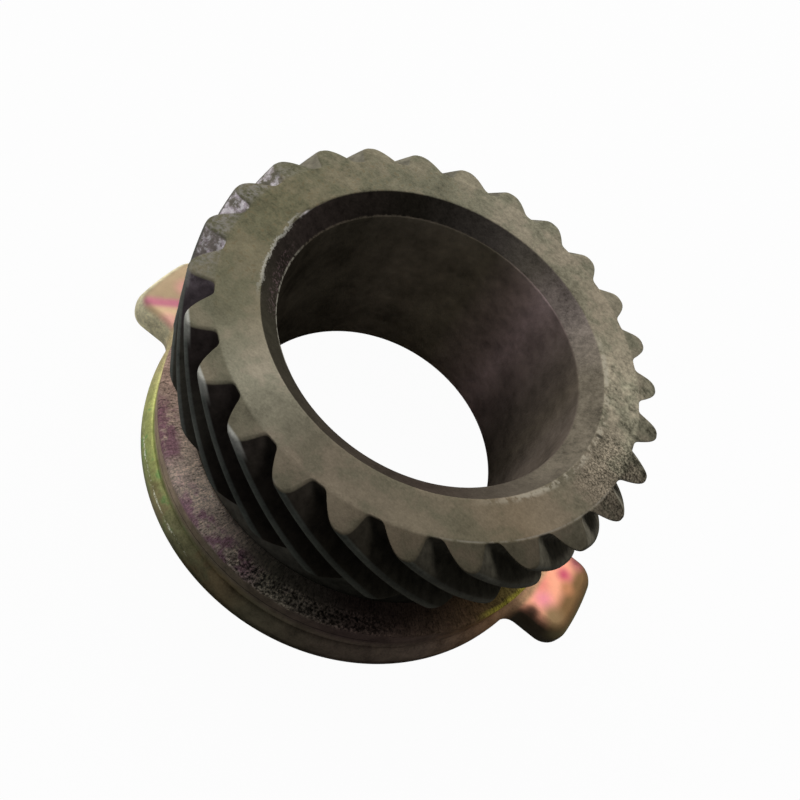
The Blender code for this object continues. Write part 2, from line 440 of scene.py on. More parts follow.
def flange_skin():
    skin = Skin()
    outline = flange_outline()
    plan = np.array([point for point, _ in outline])
    outward = np.array([normal for _, normal in outline])
    far_out = np.clip((np.linalg.norm(plan, axis=1) - LIP_RADIUS) / LUG_FILLET, 0.0, 1.0)
    across = (LIP_ROUND + (LUG_ROUND - LIP_ROUND) * far_out)[:, None]
    shelf = plan - across * outward
    ray = shelf / np.linalg.norm(shelf, axis=1)[:, None]

    def lift(flat, height, rough=0.0):
        points = []
        for x, y in flat:
            rise = rough * pitted((x, y, height)) if rough else 0.0
            points.append((x, y, height + rise))
        return skin.row(points)

    rings = []
    plate_edge = DRUM_RADIUS - DRUM_ROUND
    for row in range(PLATE_ROWS):
        radius = HOLE_RADIUS + (plate_edge - HOLE_RADIUS) * row / PLATE_ROWS
        rings.append(lift(radius * ray, PLATE_TOP, min(1.0, row / 3.0)))
    for step in range(ROUND_STEPS + 1):
        turn = 0.5 * math.pi * step / ROUND_STEPS
        radius = plate_edge + DRUM_ROUND * math.sin(turn)
        height = PLATE_TOP - DRUM_ROUND * (1.0 - math.cos(turn))
        rings.append(lift(radius * ray, height, 1.0 - step / ROUND_STEPS))
    wall_top = PLATE_TOP - DRUM_ROUND
    for row in range(1, WALL_ROWS + 1):
        rings.append(lift(DRUM_RADIUS * ray, wall_top + (WALL_FOOT - wall_top) * row / WALL_ROWS))
    rings.append(lift((DRUM_RADIUS + 0.02) * ray, LIP_HEIGHT - GROOVE))
    shelf_edge = shelf + 0.02 * (1.0 - far_out)[:, None] * outward
    for row in range(1, SHELF_ROWS + 1):
        share = row / SHELF_ROWS
        flat = (DRUM_RADIUS + 0.03) * ray * (1.0 - share) + shelf_edge * share
        rings.append(lift(flat, LIP_HEIGHT - GROOVE * max(0.0, 1.0 - 2.5 * share)))
    for step in range(1, ROUND_STEPS + 1):
        turn = 0.5 * math.pi * step / ROUND_STEPS
        inset = across * (1.0 - math.sin(turn))
        rings.append(lift(plan - inset * outward, LIP_HEIGHT - ROUND_DOWN * (1.0 - math.cos(turn))))
    for step in range(ROUND_STEPS):
        turn = 0.5 * math.pi * step / (ROUND_STEPS - 1)
        inset = FOOT_ROUND * (1.0 - math.cos(turn))
        rings.append(lift(plan - inset * outward, FOOT_ROUND * (1.0 - math.sin(turn))))
    for radius, height in INNER_PROFILE:
        rings.append(lift(radius * ray, height))
    for index, ring in enumerate(rings):
        skin.strip(ring, rings[(index + 1) % len(rings)], closed=True)
    return skin


# Finishes


class Field:
    """A value that varies over a finish. Sums on it add their maths to the finish."""

    def __init__(self, finish, socket):
        self.finish = finish
        self.socket = socket

    def beside(self, out):
        """Another output of the node that gives this value."""
        return Field(self.finish, self.socket.node.outputs[out])

    def __add__(self, other):
        return self.finish.sum("ADD", self, other)

    def __sub__(self, other):
        return self.finish.sum("SUBTRACT", self, other)

    def __rsub__(self, other):
        return self.finish.sum("SUBTRACT", other, self)

    def __mul__(self, other):
        return self.finish.sum("MULTIPLY", self, other)

    def __truediv__(self, other):
        return self.finish.sum("DIVIDE", self, other)

    def __pow__(self, other):
        return self.finish.sum("POWER", self, other)

    def __abs__(self):
        return self.finish.sum("ABSOLUTE", self, 0.0)

    __radd__ = __add__
    __rmul__ = __mul__


class Finish:
    """The nodes of a material or of the studio's air, and the few ways in which they are made."""

    def __init__(self, owner, shader="Principled BSDF"):
        owner.use_nodes = True
        self.owner = owner
        self.tree = owner.node_tree
        self.shader = self.tree.nodes[shader]

    def node(self, kind, settings, inputs, out=0):
        made = self.tree.nodes.new(kind)
        for key, value in settings.items():
            if key == "stops":
                self.set_stops(made.color_ramp, value)
            else:
                setattr(made, key, value)
        for key, value in inputs.items():
            self.feed(made.inputs[key], value)
        return Field(self, made.outputs[out])

    def set_stops(self, ramp, stops):
        while len(ramp.elements) < len(stops):
            ramp.elements.new(0.5)
        for element, (position, colour) in zip(ramp.elements, stops):
            element.position = position
            element.color = (*colour, 1.0)

    def feed(self, socket, value):
        if isinstance(value, Field):
            self.tree.links.new(value.socket, socket)
        elif isinstance(value, tuple) and len(value) == 3 and socket.type == "RGBA":
            socket.default_value = (*value, 1.0)
        else:
            socket.default_value = value

    def set(self, **sockets):
        for name, value in sockets.items():
            self.feed(self.shader.inputs[name.replace("_", " ")], value)

    def sum(self, operation, first, second):
        return self.node("ShaderNodeMath", {"operation": operation}, {0: first, 1: second})

    def find_place(self):
        """The place on the piece in millimetres, its radius, and its direction round the axis in degrees."""
        where = self.node("ShaderNodeTexCoord", {}, {}, out="Object")
        self.place = self.shade(where, 1.0 / MILLIMETRE)
        self.x = self.node("ShaderNodeSeparateXYZ", {}, {0: self.place})
        self.y, self.z = self.x.beside(1), self.x.beside(2)
        self.radius = (self.x * self.x + self.y * self.y) ** 0.5
        self.angle = self.sum("ARCTAN2", self.y, self.x) * (180.0 / math.pi)

    def rise(self, value, low, high):
        """From 0 to 1 as value goes from low to high, with soft ends."""
        return self.node(
            "ShaderNodeMapRange",
            {"interpolation_type": "SMOOTHSTEP"},
            {"Value": value, "From Min": low, "From Max": high},
        )

    def band(self, value, centre, half, soft):
        """1 where value is within half of the centre, and 0 beyond half and soft."""
        return self.rise(abs(value - centre), half + soft, half)

    def around(self, centre, half, soft):
        """The same for the direction round the axis, in degrees."""
        turned = self.node(
            "ShaderNodeMath", {"operation": "WRAP"}, {0: self.angle - centre, 1: 180.0, 2: -180.0}
        )
        return self.rise(abs(turned), half + soft, half)

    def spot(self, centre, reach, soft):
        """The same for the distance from a place."""
        far = self.node(
            "ShaderNodeVectorMath", {"operation": "DISTANCE"}, {0: self.place, 1: centre}, out="Value"
        )
        return self.rise(far, reach + soft, reach)

    def by_direction(self, *stops):
        """A colour that changes round the axis, with stops in degrees from -180 to 180."""
        placed = [(degrees / 360.0 + 0.5, colour) for degrees, colour in stops]
        return self.node("ShaderNodeValToRGB", {"stops": placed}, {0: self.angle / 360.0 + 0.5})

    def cloud(self, size, detail, roughness, shift=(0.0, 0.0, 0.0)):
        """Noise round 0.5 whose lumps are about that size."""
        moved = self.node("ShaderNodeVectorMath", {"operation": "ADD"}, {0: self.place, 1: shift})
        return self.noise(moved, 1.0 / size, detail, roughness)

    def noise(self, place, scale, detail, roughness=0.5, bent=0.0):
        return self.node(
            "ShaderNodeTexNoise",
            {"noise_dimensions": "3D"},
            {"Vector": place, "Scale": scale, "Detail": detail, "Roughness": roughness, "Distortion": bent},
        )

    def mix(self, share, first, second):
        settings = {"data_type": "RGBA", "clamp_factor": True}
        return self.node("ShaderNodeMix", settings, {0: share, 6: first, 7: second}, out=2)

    def tint(self, share, colour, by):
        settings = {"data_type": "RGBA", "blend_type": "MULTIPLY", "clamp_factor": True}
        return self.node("ShaderNodeMix", settings, {0: share, 6: colour, 7: by}, out=2)

    def shade(self, colour, strength):
        return self.node("ShaderNodeVectorMath", {"operation": "SCALE"}, {0: colour, "Scale": strength})

    def stained(self, colour, stains):
        for centre, reach, soft, stain in stains:
            colour = self.mix(self.spot(centre, reach, soft), colour, stain)
        return colour

    def bump(self, height, distance, strength):
        inputs = {"Height": height, "Distance": distance * MILLIMETRE, "Strength": strength}
        return self.node("ShaderNodeBump", {}, inputs)

    def show_white(self, share, white):
        """Shows white instead of the plain shader to the eye, and in metal and glass, by that share."""
        seen = self.node("ShaderNodeLightPath", {}, {}, "Is Camera Ray")
        for ray in ("Is Glossy Ray", "Is Transmission Ray"):
            seen = self.sum("MAXIMUM", seen, self.node("ShaderNodeLightPath", {}, {}, ray))
        plain = Field(self, self.shader.outputs[0])
        both = self.node("ShaderNodeMixShader", {}, {0: seen * share, 1: plain, 2: white})
        output = next(node for node in self.tree.nodes if node.type.startswith("OUTPUT"))
        self.tree.links.new(both.socket, output.inputs["Surface"])


# The gear's steel. Its colours change round the axis, tuned to the photo with its light and shade.

COOL_PATCH, WARM_PATCH = (0.975, 1.0, 0.95), (1.03, 0.99, 0.965)
BROWN_FLECK = (0.125, 0.092, 0.050)
# The next colour is a pale line along the face's inner edge at the right.
PALE_INNER_RIM = (0.40, 0.365, 0.29)
SCRATCH = (0.02, 0.018, 0.014)
# Painted highlight on the teeth's ends at the left.
TOOTH_END_HIGHLIGHT = (0.26, 0.245, 0.25)
ROOT_GLINT = (0.26, 0.24, 0.20)
# Painted light on the flanks at the left: their lilac tint made brighter, and a white painted highlight.
LILAC_TINT_AND_LIGHT, WHITE_FLANK_HIGHLIGHT = (0.62, 0.54, 0.62), (0.88, 0.85, 0.87)
# Painted shade low down in the gaps.
DEEP_GAP_SHADE = (0.105, 0.100, 0.080)
# Painted light on the teeth's tips at the lower left.
TIP_LIGHT = (0.46, 0.46, 0.42)
PINK_RUST = (0.17, 0.110, 0.120)
BURR_EDGE = (0.40, 0.385, 0.33)
# Painted highlights along the edge where the chamfer ends.
BORE_EDGE_FAINT_HIGHLIGHT, BORE_EDGE_BRIGHT_HIGHLIGHT = (0.19, 0.155, 0.115), (0.36, 0.34, 0.28)


class GearSteel(Finish):
    """Olive steel, mottled, crusty at the face's right; painted light and shade round the axis, brightest on
    the teeth at the left.
    """

    def __init__(self):
        super().__init__(bpy.data.materials.new("olive_gear_steel"))
        self.find_place()
        self.depth = FACE_HEIGHT - self.z
        self.patches = self.cloud(4.2, 3.0, 0.6)
        self.mottle = self.cloud(1.1, 4.0, 0.62, (11.0, 3.0, 5.0))
        self.grain = self.cloud(0.2, 2.0, 0.6, (5.0, 17.0, 2.0))
        self.fleck = self.cloud(0.45, 3.0, 0.7, (1.0, 6.0, 23.0))
        lively = 1.0 - 0.75 * self.around(-90.0, 50.0, 40.0)
        crusty = self.around(14.0, 16.0, 14.0) * self.rise(self.radius, 16.0, 17.5)
        tone = 0.96 + 1.1 * (self.patches - 0.5) + (0.4 + 0.6 * lively) * (self.mottle - 0.5)
        tone = tone + (0.2 + 0.9 * lively + 0.9 * crusty) * (self.fleck - 0.5)
        self.tone = tone + 0.5 * (self.grain - 0.5) + 1.3 * crusty * (self.mottle - 0.5)
        warm_share = self.rise(self.patches + 0.4 * (self.mottle - 0.5), 0.42, 0.58)
        self.warm = self.mix(warm_share, COOL_PATCH, WARM_PATCH)
        self.coarse = self.rise(self.cloud(0.22, 3.0, 0.8, (7.0, 2.0, 9.0)), 0.36, 0.64)
        self.speckled = self.around(-3.0, 6.0, 12.0) * self.rise(self.radius, 16.6, 18.2)

        colour = self.with_neck(self.teeth())
        colour = self.with_bore(self.with_chamfer(colour))
        relief = self.bump(0.5 * self.mottle + 0.3 * self.fleck + 0.2 * self.grain, 0.09, 0.9)
        rough = 0.62 + 0.3 * (self.mottle - 0.5)
        self.set(Base_Color=colour, Roughness=rough, Metallic=0.0, Normal=relief, Specular_IOR_Level=0.0)

    def face(self):
        """The flat ring round the bore, with painted light and shade round the axis, a pale line along its
        inner edge and a scratch at the right.
        """
        # Painted light and shade: the face is lighter and darker round the axis as the light falls on it.
        face = self.by_direction(
            (-180, (0.172, 0.158, 0.102)), (-160, (0.168, 0.156, 0.103)), (-138, (0.196, 0.180, 0.126)),
            (-118, (0.310, 0.284, 0.220)), (-96, (0.160, 0.138, 0.104)), (-60, (0.159, 0.139, 0.100)),
            (-38, (0.167, 0.136, 0.093)), (-10, (0.190, 0.166, 0.126)), (26, (0.300, 0.274, 0.206)),
            (60, (0.240, 0.213, 0.160)), (96, (0.246, 0.225, 0.170)), (135, (0.203, 0.189, 0.136)),
            (180, (0.172, 0.158, 0.102)),
        )
        face = self.tint(1.0, face, self.warm)
        brown = self.rise(self.fleck, 0.54, 0.64) * self.around(165.0, 40.0, 30.0)
        face = self.mix(0.5 * brown, face, BROWN_FLECK)
        face = self.shade(face, self.tone * (1.0 + self.speckled * (1.1 * self.coarse - 0.72)))
        # Lighter along the face's inner edge at the right.
        pale_rim = self.band(self.radius, 17.1, 0.05, 0.5) * self.around(2.0, 30.0, 26.0)
        pale_rim = 0.7 * pale_rim * self.rise(self.mottle + 0.4 * self.fleck, 0.62, 0.80)
        face = self.mix(pale_rim, face, PALE_INNER_RIM)
        scratch = self.spot((17.3, 1.45, FACE_HEIGHT), 0.12, 0.5)
        scratch = scratch * self.band(self.y - 0.3 * self.x, -3.74, 0.1, 0.15)
        return self.mix(0.85 * scratch, face, SCRATCH)

    def tooth_ends(self):
        """The sloping upper ends of the teeth, with painted light and shade round the axis and a painted
        highlight at the left.
        """
        ends = self.by_direction(
            (-180, (0.160, 0.148, 0.100)), (-135, (0.186, 0.173, 0.124)), (-108, (0.172, 0.152, 0.114)),
            (-70, (0.096, 0.081, 0.058)), (-38, (0.082, 0.070, 0.050)), (-12, (0.105, 0.092, 0.070)),
            (30, (0.190, 0.174, 0.130)), (96, (0.205, 0.190, 0.142)), (150, (0.175, 0.163, 0.115)),
            (180, (0.160, 0.148, 0.100)),
        )
        ends = self.tint(1.0, ends, self.warm)
        ends = self.shade(ends, self.tone * (1.0 + self.speckled * (1.1 * self.coarse - 0.82)))
        # Painted highlight on the outer part of the teeth's ends at the left.
        pale = self.around(-170.0, 14.0, 14.0)
        pale = pale * self.rise(self.radius + 1.2 * (self.mottle - 0.5), 20.4, 21.4)
        return self.mix(0.45 * pale * self.rise(self.fleck, 0.40, 0.62), ends, TOOTH_END_HIGHLIGHT)

    def flanks(self):
        """The sides of the teeth and the gaps, with painted light and shade round the axis, painted light on
        the flanks at the left, and painted shade in the depth.
        """
        flank = self.by_direction(
            (-180, (0.25, 0.230, 0.178)), (-158, (0.30, 0.265, 0.240)), (-147, (0.115, 0.093, 0.105)),
            (-134, (0.033, 0.026, 0.025)), (-75, (0.036, 0.031, 0.023)), (-55, (0.066, 0.060, 0.045)),
            (-38, (0.080, 0.073, 0.054)), (-15, (0.170, 0.155, 0.118)), (10, (0.210, 0.192, 0.150)),
            (40, (0.16, 0.150, 0.115)), (110, (0.150, 0.140, 0.108)), (155, (0.23, 0.212, 0.162)),
            (180, (0.25, 0.230, 0.178)),
        )
        # Painted light on the flanks at the left: their lilac tint made brighter, and white painted
        # highlights.
        left_flank_light = self.around(-170.0, 12.0, 14.0)
        flank = self.mix(0.8 * left_flank_light * self.rise(self.mottle, 0.44, 0.60), flank, LILAC_TINT_AND_LIGHT)
        white = left_flank_light * self.rise(0.6 * self.fleck + 0.4 * self.mottle, 0.49, 0.58)
        flank = self.mix(0.65 * white, flank, WHITE_FLANK_HIGHLIGHT)
        flank = self.shade(flank, 1.0 + 2.0 * (self.mottle - 0.5))
        # Painted shade low down in the gaps on the left side.
        deep = self.rise(self.depth, 2.2, 5.0) * self.around(170.0, 60.0, 25.0)
        return self.mix(0.85 * deep, flank, self.shade(DEEP_GAP_SHADE, self.tone))

    def teeth(self):
        """The face, the teeth's ends, flanks and crests, and painted light on the tips at the lower left."""
        on_ends = self.rise(self.radius, ROOT_RADIUS - 0.12, ROOT_RADIUS + 0.16)
        upper = self.mix(on_ends, self.face(), self.tooth_ends())
        glint = self.band(self.radius, ROOT_RADIUS - 0.08, 0.03, 0.09) * self.around(-34.0, 18.0, 14.0)
        upper = self.mix(0.5 * glint * self.rise(self.mottle, 0.36, 0.55), upper, ROOT_GLINT)
        # Painted light and shade: the crests are lighter at the left and darker towards the front.
        crest = self.by_direction(
            (-180, (0.24, 0.23, 0.21)), (-140, (0.20, 0.21, 0.19)), (-105, (0.125, 0.135, 0.12)),
            (-80, (0.085, 0.09, 0.075)), (-50, (0.095, 0.092, 0.074)), (0, (0.130, 0.122, 0.096)),
            (90, (0.15, 0.14, 0.108)), (180, (0.24, 0.23, 0.21)),
        )
        on_crest = self.rise(self.radius, TIP_RADIUS - 0.26, TIP_RADIUS - 0.1)
        outer = self.mix(on_crest, self.flanks(), self.shade(crest, self.tone))
        slope = self.sum("MAXIMUM", self.radius - ROOT_RADIUS, 0.0) * (FACE_BEVEL_DROP / TOOTH_DEPTH)
        colour = self.mix(self.rise(self.depth - slope, 0.2, 0.09), outer, upper)
        # Painted light on the teeth's tips at the lower left, where the upper flanks face the light.
        lit_tips = self.around(-122.0, 20.0, 8.0) * self.rise(self.radius, 22.6, 22.8)
        lit_tips = lit_tips * self.rise(self.depth, 1.7, 0.5)
        return self.mix(0.85 * lit_tips, colour, self.shade(TIP_LIGHT, self.tone))

    def with_neck(self, colour):
        # Painted light and shade: the neck is lighter at the left and darker towards the front.
        neck = self.by_direction(
            (-180, (0.10, 0.095, 0.08)), (-130, (0.155, 0.148, 0.125)), (-98, (0.110, 0.104, 0.086)),
            (-75, (0.045, 0.043, 0.034)), (-50, (0.024, 0.022, 0.017)), (0, (0.060, 0.056, 0.043)),
            (180, (0.10, 0.095, 0.08)),
        )
        on_neck = self.rise(self.radius, NECK_RADIUS + 0.7, NECK_RADIUS + 0.3)
        on_neck = on_neck * self.rise(self.depth, 9.0, 10.5)
        return self.mix(on_neck, colour, self.shade(neck, 1.0 + 2.0 * (self.mottle - 0.5)))

    def with_chamfer(self, colour):
        """The chamfer, with painted light and shade round the axis, faintly rusty at the left, under a torn
        bright edge.
        """
        chamfer = self.by_direction(
            (-180, (0.034, 0.026, 0.023)), (-134, (0.042, 0.038, 0.027)), (-61, (0.048, 0.037, 0.030)),
            (-35, (0.095, 0.080, 0.062)), (-5, (0.165, 0.143, 0.108)), (30, (0.194, 0.168, 0.127)),
            (42, (0.280, 0.240, 0.196)), (56, (0.310, 0.262, 0.232)), (67, (0.235, 0.196, 0.175)),
            (80, (0.130, 0.113, 0.092)), (96, (0.080, 0.069, 0.060)), (130, (0.020, 0.017, 0.013)),
            (180, (0.034, 0.026, 0.023)),
        )
        rusty = self.rise(0.4 * self.fleck + 0.6 * self.grain, 0.50, 0.62) * self.around(-156.0, 9.0, 10.0)
        rusty = rusty * self.rise(self.radius, 16.3, 15.7)
        chamfer = self.shade(self.mix(0.6 * rusty, chamfer, PINK_RUST), self.tone)
        on_chamfer = self.rise(self.radius, CHAMFER_RADIUS + 0.02, CHAMFER_RADIUS - 0.12)
        colour = self.mix(on_chamfer * self.rise(self.depth, 3.0, 2.0), colour, chamfer)
        torn = 1.1 * (self.mottle - 0.5) + 0.7 * (self.grain - 0.5)
        edge = self.band(self.radius + torn, CHAMFER_RADIUS + 0.05, 0.06, 0.14)
        edge = edge * self.around(-164.0, 8.0, 15.0) * self.rise(self.depth, 0.9, 0.4)
        return self.mix(0.9 * edge, colour, BURR_EDGE)

    def with_bore(self, colour):
        """The bore's wall, with painted light and shade round the axis and down the bore, and a broken
        painted highlight where the chamfer ends.
        """
        bore = self.by_direction(
            (-180, (0.050, 0.042, 0.030)), (-30, (0.090, 0.075, 0.060)), (0, (0.160, 0.130, 0.105)),
            (15, (0.150, 0.123, 0.100)), (28, (0.165, 0.136, 0.104)), (44, (0.220, 0.178, 0.150)),
            (57, (0.420, 0.322, 0.300)), (67, (0.780, 0.590, 0.580)), (78, (0.600, 0.465, 0.420)),
            (95, (0.340, 0.292, 0.212)), (127, (0.280, 0.240, 0.182)), (150, (0.120, 0.104, 0.075)),
            (180, (0.050, 0.042, 0.030)),
        )
        uneven = 1.0 + 1.7 * (self.patches - 0.5) + 0.9 * (self.mottle - 0.5)
        # Painted shade: the bore darkens further down.
        bore = self.shade(bore, uneven * (1.0 - 0.2 * self.rise(self.depth, 12.0, 19.0)))
        colour = self.mix(self.rise(self.radius, BORE_RADIUS + 0.12, BORE_RADIUS + 0.04), colour, bore)
        # A broken painted highlight along the edge where the chamfer ends.
        line = self.rise(self.radius, BORE_RADIUS + 0.2, BORE_RADIUS + 0.08)
        line = line * self.band(self.depth, CHAMFER_DEPTH - 0.04, 0.07, 0.1)
        faint = line * self.around(160.0, 40.0, 30.0) * self.rise(self.fleck, 0.40, 0.56)
        colour = self.mix(0.5 * faint, colour, BORE_EDGE_FAINT_HIGHLIGHT)
        bright = line * self.around(-147.0, 20.0, 14.0) * self.rise(self.fleck, 0.38, 0.52)
        return self.mix(0.85 * bright, colour, BORE_EDGE_BRIGHT_HIGHLIGHT)


# The flange's plating, tuned in the same way. A stain is a place, a reach, how softly it ends, and a colour.

GOLD_RIM = (0.50, 0.42, 0.07)
PURPLE_TINT = (0.50, 0.36, 0.52)
GREEN_PATCH, BRONZE_PATCH = (0.14, 0.30, 0.10), (0.30, 0.20, 0.11)
LIP_HIGHLIGHT = (0.95, 0.95, 0.74)
PINK_BAND_PLACE, PINK_BAND_SLOPE = (-27.22, -3.06), 0.89
LEFT_LUG_ABOVE_BAND, LEFT_LUG_BELOW_BAND = (0.34, 0.255, 0.160), (0.54, 0.39, 0.24)
# The second colour here is the left lug's pale edge, a painted reflection.
LEFT_LUG_BAND, LEFT_LUG_EDGE_REFLECTION = (0.45, 0.155, 0.21), (0.74, 0.68, 0.46)
LEFT_LUG_STAINS = (
    ((-24.8, -4.4, 3.0), 0.5, 1.3, (0.62, 0.34, 0.28)),
    ((-26.6, 0.6, 3.3), 0.3, 1.6, (0.48, 0.25, 0.21)),
)
RIGHT_LUG_ORANGE, RIGHT_LUG_BROWN = (0.95, 0.42, 0.27), (0.20, 0.115, 0.05)
RIGHT_LUG_STAINS = (
    ((26.3, 1.8, 3.3), 0.0, 1.5, (0.56, 0.10, 0.155)),
    ((25.6, -2.4, 3.3), 0.0, 1.9, (0.86, 0.30, 0.34)),
    ((24.4, -1.0, 3.3), 0.0, 1.7, (0.82, 0.27, 0.22)),
    ((26.9, 4.2, 3.2), 0.0, 1.7, (0.38, 0.12, 0.125)),
    ((27.3, 0.6, 3.3), 0.0, 1.4, (0.50, 0.225, 0.11)),
    ((27.4, -3.4, 3.2), 0.2, 1.9, (0.26, 0.17, 0.085)),
    ((25.2, -4.5, 3.2), 0.2, 1.2, (0.15, 0.075, 0.05)),
)
# Painted shade on the right lug's sides.
RIGHT_EDGE_SHADE_NEAR, RIGHT_EDGE_SHADE_FAR = (0.090, 0.070, 0.046), (0.200, 0.160, 0.082)
RIGHT_EDGE_SHADE_LOW = (0.095, 0.080, 0.056)


class FlangePlating(Finish):
    """Yellow plating with pink, green and brown patches, grained on the plate and stained on the lugs, with
    painted light and shade round the axis.
    """

    def __init__(self):
        super().__init__(bpy.data.materials.new("iridescent_plating"))
        self.find_place()
        self.drift = self.cloud(4.0, 3.0, 0.6, (3.0, 8.0, 1.0))
        self.patches = self.cloud(1.5, 4.0, 0.62, (21.0, 3.0, 9.0))
        self.grain = self.cloud(0.2, 3.0, 0.65, (2.0, 9.0, 31.0))
        self.tone = 1.0 + 0.7 * (self.drift - 0.5) + 1.5 * (self.patches - 0.5) + (self.grain - 0.5)
        rolled = self.node(
            "ShaderNodeCombineXYZ", {}, {0: 1.3 * self.radius, 1: 2.3 * self.angle, 2: self.z}
        )
        self.streaks = self.noise(rolled, 1.0, 4.0, bent=1.2)
        uneven = self.z + 0.6 * (self.patches - 0.5)
        highlight = self.band(uneven, 2.4, 0.03, 0.2) * self.around(-122.0, 12.0, 9.0)
        self.highlight = highlight * self.rise(self.grain + 0.9 * self.patches, 0.90, 1.08)

        on_wall = self.rise(uneven, LIP_HEIGHT + 0.2, LIP_HEIGHT + 1.6)
        on_plate = self.rise(uneven, PLATE_TOP - 0.9, PLATE_TOP - 0.1)
        on_lug = self.rise(self.radius, 24.1, 24.9)
        colour = self.mix(on_wall, self.shade(self.lip(), self.tone), self.shade(self.wall(), self.tone))
        colour = self.mix(on_plate, colour, self.plate())
        # A thin darker line round the middle of the wall, towards the front.
        dark_wall_line = self.band(self.z + 0.3 * (self.patches - 0.5), 4.85, 0.02, 0.12)
        colour = self.shade(colour, 1.0 - 0.6 * (dark_wall_line * self.around(-95.0, 32.0, 20.0)))
        lug_tone = 1.0 + 0.5 * (self.patches - 0.5) + 0.3 * (self.drift - 0.5)
        lug = self.mix(self.rise(self.x, -1.0, 1.0), self.left_lug(), self.right_lug())
        colour = self.mix(on_lug, colour, self.shade(lug, lug_tone))

        left_side = self.around(175.0, 62.0, 20.0)
        right_lug_top = self.rise(self.x, 22.5, 24.5) * self.rise(self.z, 2.9, 3.25)
        shine = 0.22 * left_side * (1.0 - on_plate) + 0.30 * right_lug_top
        height = 0.4 * self.grain + 0.3 * self.patches + 0.3 * self.streaks
        relief = self.bump(height, 0.09, 0.3 + 0.7 * on_plate)
        rough = 0.46 + 0.24 * on_plate + 0.25 * (self.patches - 0.5) - 0.18 * self.highlight
        self.set(Base_Color=colour, Roughness=rough, Metallic=shine, Normal=relief, Specular_IOR_Level=0.0)

    def plate(self):
        """The flat plate inside the drum's edge, streaked by the rolling and pitted at the front, with
        painted light and shade round the axis and painted shade under the teeth at the front.
        """
        plate = self.by_direction(
            (-180, (0.42, 0.28, 0.25)), (-150, (0.44, 0.30, 0.24)), (-126, (0.62, 0.49, 0.40)),
            (-113, (0.86, 0.71, 0.59)), (-100, (0.62, 0.51, 0.43)), (-86, (0.38, 0.34, 0.26)),
            (-64, (0.155, 0.110, 0.094)), (-43, (0.120, 0.080, 0.056)), (-28, (0.15, 0.092, 0.045)),
            (-18, (0.20, 0.150, 0.050)), (10, (0.45, 0.32, 0.17)), (90, (0.42, 0.36, 0.22)),
            (180, (0.42, 0.28, 0.25)),
        )
        golden = self.rise(self.radius + 0.6 * (self.patches - 0.5), 22.4, 22.8)
        golden = golden * self.around(-17.0, 6.0, 8.0)
        plate = self.mix(golden, plate, GOLD_RIM)
        purple = self.around(-133.0, 5.0, 8.0) * self.rise(self.radius, 20.8, 21.8)
        purple = purple + self.around(-103.0, 9.0, 10.0) * self.rise(self.radius, 20.6, 21.6)
        purple = purple * self.rise(self.patches, 0.40, 0.56) + 0.25 * self.rise(self.patches, 0.60, 0.68)
        plate = self.tint(purple, plate, PURPLE_TINT)
        pits = self.rise(self.cloud(0.28, 4.0, 0.7, (4.0, 9.0, 5.0)), 0.38, 0.66)
        front = self.around(-76.0, 14.0, 14.0)
        pitted_zone = front * self.rise(self.radius + (self.patches - 0.5), 20.9, 21.7)
        coarseness = self.tone + 2.3 * (self.streaks - 0.5) + 1.2 * (self.grain - 0.5)
        plate = self.shade(plate, coarseness * (1.0 + pitted_zone * (1.9 * pits - 0.85)))
        # Painted shade on the plate close under the teeth at the front.
        return self.shade(plate, 1.0 - 0.4 * front * self.rise(self.radius, 21.5, 20.9))

    def wall(self):
        """The drum's wall, with painted light and shade round the axis."""
        return self.by_direction(
            (-180, (0.45, 0.33, 0.24)), (-135, (0.46, 0.34, 0.23)), (-116, (0.44, 0.34, 0.24)),
            (-100, (0.26, 0.215, 0.155)), (-86, (0.170, 0.136, 0.100)), (-64, (0.125, 0.086, 0.076)),
            (-43, (0.150, 0.105, 0.082)), (-22, (0.26, 0.145, 0.055)), (20, (0.50, 0.34, 0.17)),
            (90, (0.40, 0.38, 0.20)), (180, (0.50, 0.42, 0.30)),
        )

    def lip(self):
        """The narrow lip, with green and bronze patches, painted light and shade round the axis, a broken
        painted highlight, and painted shade on its lower edge towards the front.
        """
        lip = self.by_direction(
            (-180, (0.62, 0.46, 0.33)), (-160, (0.58, 0.50, 0.26)), (-146, (0.49, 0.51, 0.19)),
            (-130, (0.42, 0.46, 0.17)), (-113, (0.37, 0.36, 0.185)), (-100, (0.24, 0.225, 0.125)),
            (-84, (0.230, 0.200, 0.130)), (-65, (0.215, 0.166, 0.125)), (-42, (0.195, 0.145, 0.110)),
            (-21, (0.26, 0.150, 0.080)), (10, (0.60, 0.38, 0.22)), (60, (0.46, 0.44, 0.22)),
            (120, (0.52, 0.40, 0.25)), (180, (0.70, 0.52, 0.38)),
        )
        green = self.around(-136.0, 22.0, 12.0) * self.rise(self.patches, 0.55, 0.64)
        lip = self.mix(0.65 * green, lip, GREEN_PATCH)
        bronze = self.around(-108.0, 14.0, 10.0) * self.rise(self.drift, 0.46, 0.56)
        lip = self.mix(0.5 * bronze, lip, BRONZE_PATCH)
        lip = self.mix(self.highlight, lip, LIP_HIGHLIGHT)
        # Painted shade on the lip's lower edge, towards the front.
        lower_edge = self.rise(self.z, 1.9, 1.1) * self.around(-95.0, 62.0, 16.0)
        return self.shade(lip, 1.0 - 0.4 * lower_edge)

    def left_lug(self):
        """The left lug: a pink band across its top, and a pale edge that is a painted reflection."""
        from_band = (self.y - PINK_BAND_PLACE[1]) - PINK_BAND_SLOPE * (self.x - PINK_BAND_PLACE[0])
        top = self.mix(self.rise(from_band, 0.2, -0.8), LEFT_LUG_ABOVE_BAND, LEFT_LUG_BELOW_BAND)
        on_band = self.band(from_band + 0.8 * (self.patches - 0.5), 0.0, 0.1, 1.25)
        top = self.stained(self.mix(0.95 * on_band, top, LEFT_LUG_BAND), LEFT_LUG_STAINS)
